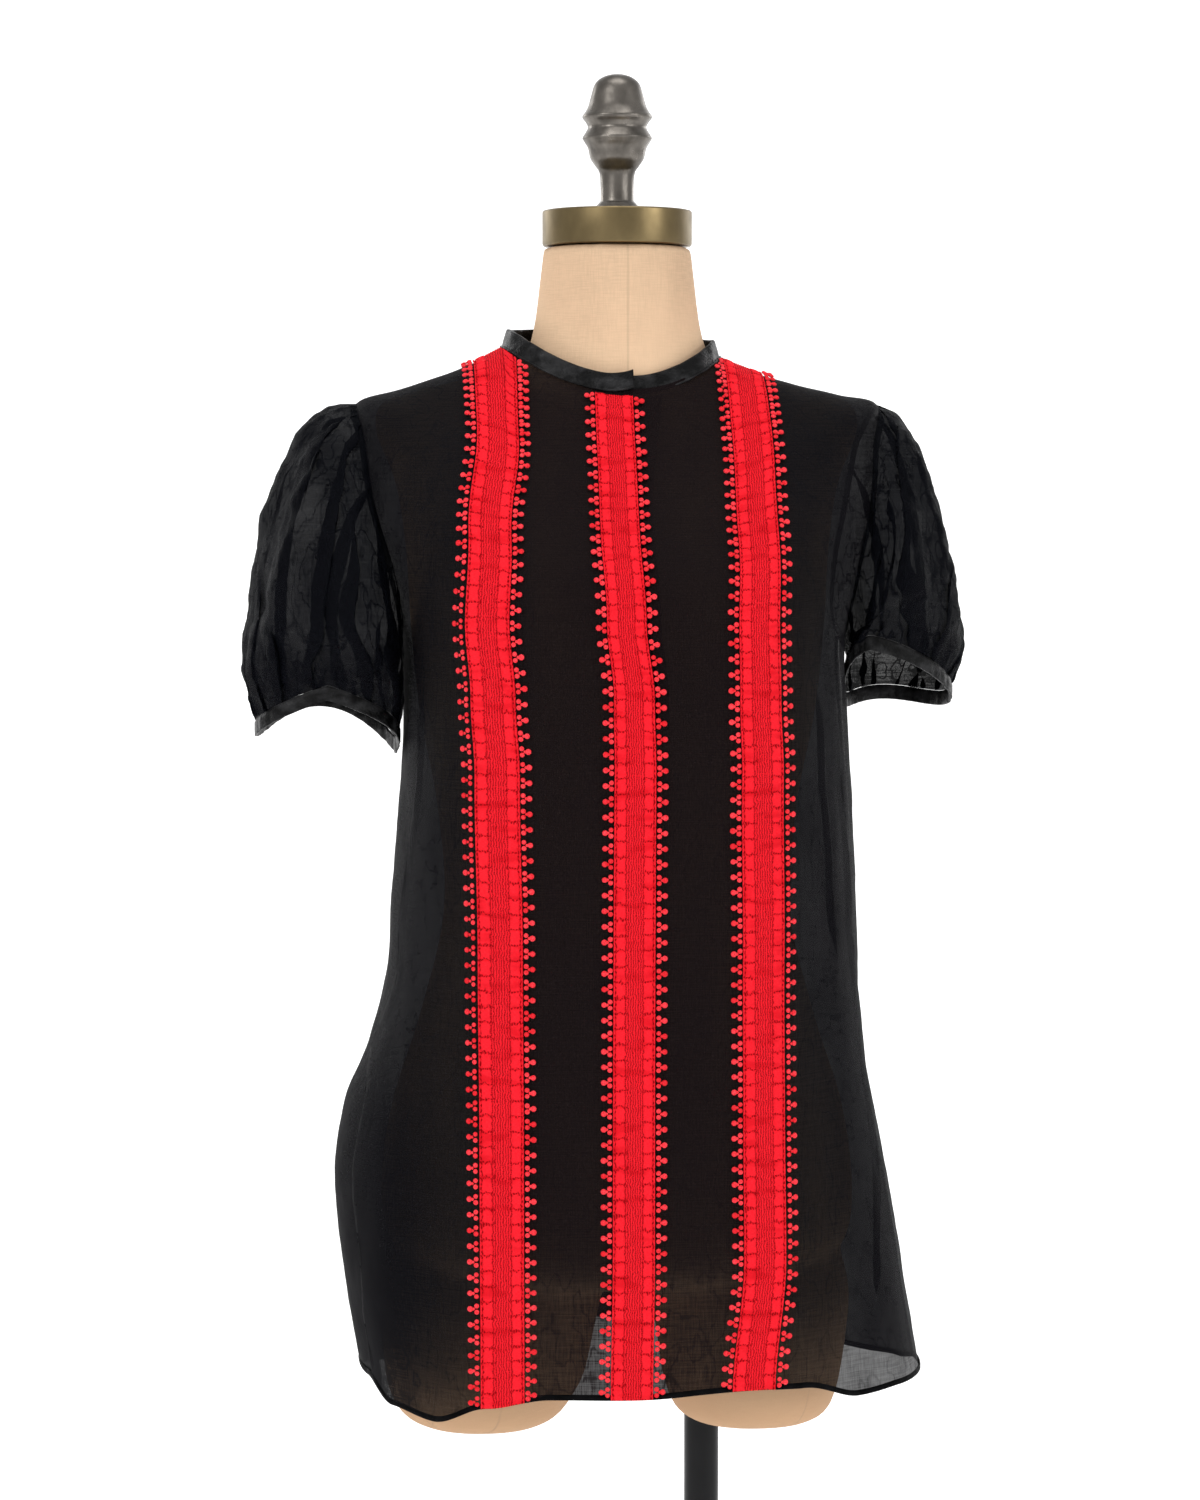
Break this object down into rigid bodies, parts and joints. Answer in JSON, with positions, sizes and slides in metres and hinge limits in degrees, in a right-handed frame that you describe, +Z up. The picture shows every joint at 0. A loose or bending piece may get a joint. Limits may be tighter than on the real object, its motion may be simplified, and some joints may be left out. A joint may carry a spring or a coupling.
{
  "type": "lace blouse on dress form",
  "caption": "Sheer short-sleeved blouse with upright bands of lace, round neck band and bound cuffs, on a limbless dress form with a pole and round foot.",
  "frame": {"origin": "middle of the foot's underside, on the floor", "axes": "+Z up, -Y the blouse's front, +X the viewer's right when facing the front"},
  "size_m": [0.4919, 0.35, 1.5841],
  "materials": {
    "voile": "sheer, matte",
    "binding": "satin",
    "lace": "matte embroidery",
    "linen": "matte woven",
    "brass": "brushed, aged",
    "pewter": "worn cast metal",
    "black_steel": "gloss"
  },
  "bodies": {
    "root": {"front": "voile", "back": "voile", "placket_underlap": "voile", "sleeve_left": "voile", "sleeve_right": "voile", "cuff_left": "binding", "cuff_right": "binding", "neck_band": "binding", "lace_left": "lace", "lace_centre": "lace", "lace_right": "lace", "dress_form": "linen", "neck_cap": "brass", "finial": "pewter", "pole": "black_steel", "foot": "black_steel"}
  },
  "joints": []
}
